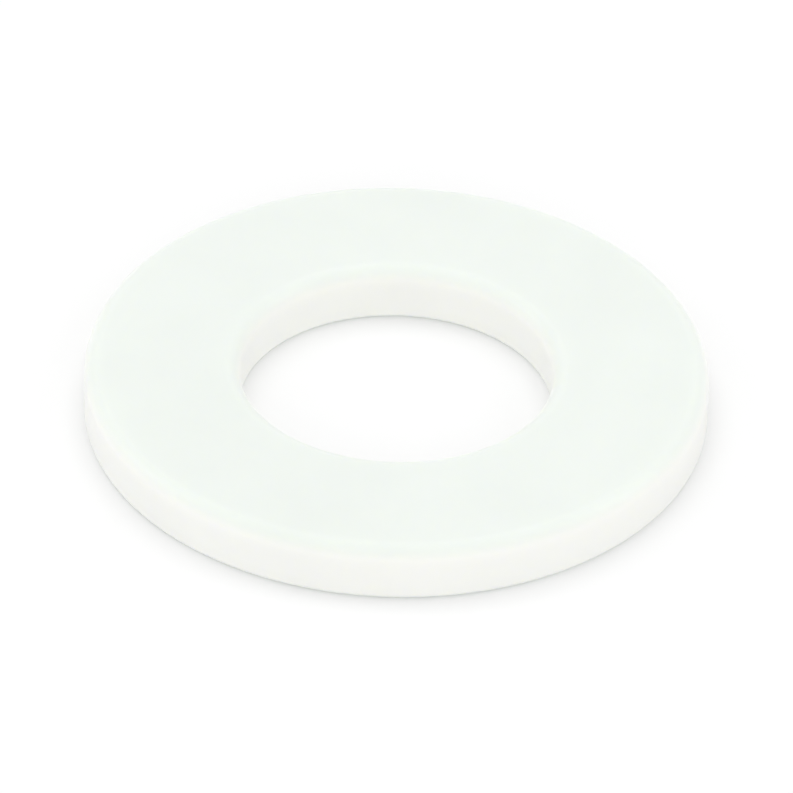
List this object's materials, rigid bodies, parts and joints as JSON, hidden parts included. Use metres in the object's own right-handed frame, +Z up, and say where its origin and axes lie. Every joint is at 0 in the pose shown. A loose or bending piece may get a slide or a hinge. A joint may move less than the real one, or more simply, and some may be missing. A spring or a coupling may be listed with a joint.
{
  "type": "flat washer",
  "caption": "Plain round flat washer moulded in milky natural nylon: a thin ring with two flat bearing faces, a clear bolt hole and softly rounded upper edges.",
  "frame": {"origin": "centre of the underside, on the bore's axis, in the plane of the lower bearing face", "axes": "+Z up along the bore's axis, out of the upper bearing face, whose edges are the rounder ones; X and Y are any two directions in the plane of the ring, which is round"},
  "size_m": [0.021, 0.021, 0.002],
  "materials": {
    "natural_nylon": "satin, milky translucent natural nylon with a faint green cast"
  },
  "bodies": {
    "root": {"washer_ring": "natural_nylon"}
  },
  "joints": []
}
